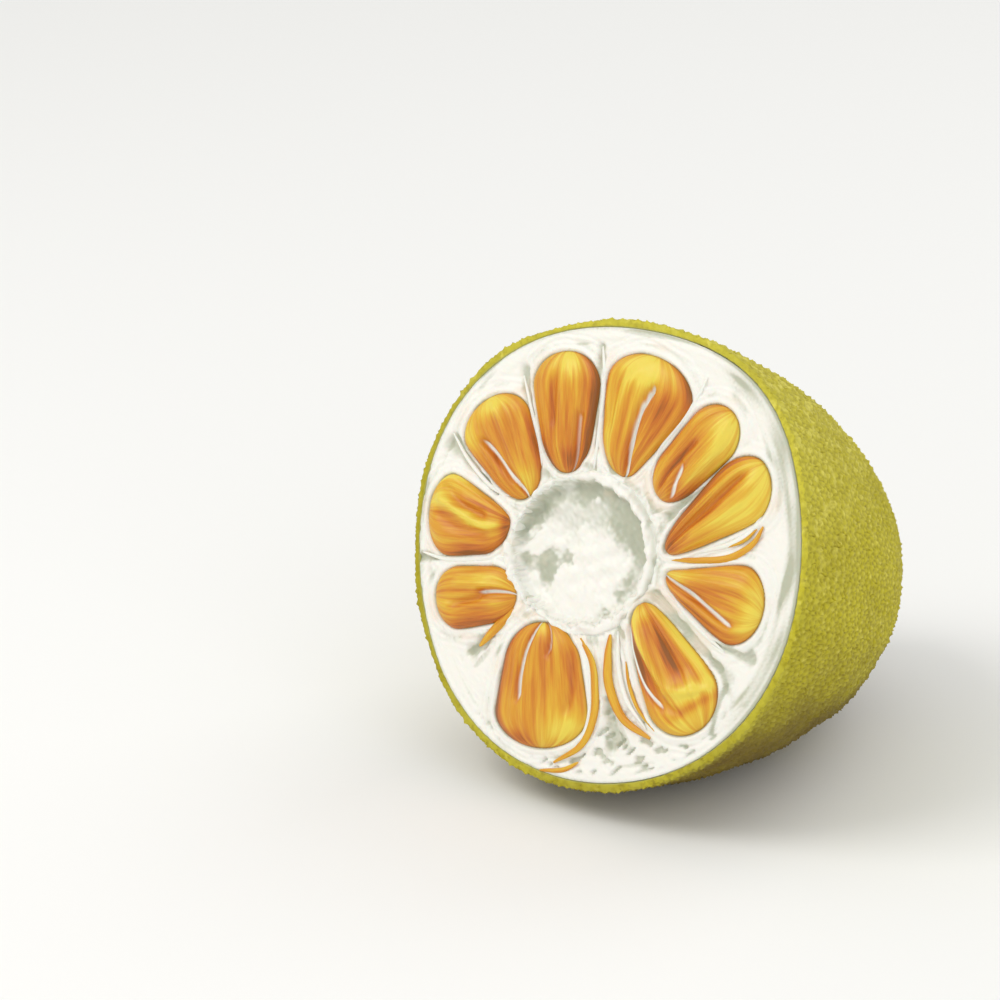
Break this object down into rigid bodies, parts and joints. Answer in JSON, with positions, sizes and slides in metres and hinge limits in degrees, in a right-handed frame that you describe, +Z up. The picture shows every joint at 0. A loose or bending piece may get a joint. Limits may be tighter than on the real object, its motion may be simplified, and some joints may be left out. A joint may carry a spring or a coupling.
{
  "type": "cut half jackfruit",
  "caption": "Half of a jackfruit cut across: knobbly green rind, white pith, fibrous core and plump orange arils, lying on its side.",
  "frame": {"origin": "on the surface it lies on, below the middle of the fruit's box", "axes": "+Z up; -Y towards the side that the cut face looks to, which leans back 18 degrees; +X to the right of someone facing the cut"},
  "size_m": [0.2256, 0.2382, 0.2281],
  "materials": {
    "rind_skin": "matte",
    "pith_flesh": "matte",
    "core_fibre": "matte",
    "aril_flesh": "satin"
  },
  "bodies": {
    "root": {"rind": "rind_skin", "pith": "pith_flesh", "core": "core_fibre", "aril_01": "aril_flesh", "aril_02": "aril_flesh", "aril_03": "aril_flesh", "aril_04": "aril_flesh", "aril_05": "aril_flesh", "aril_06": "aril_flesh", "aril_07": "aril_flesh", "aril_08": "aril_flesh", "aril_09": "aril_flesh", "aril_10": "aril_flesh"}
  },
  "joints": []
}
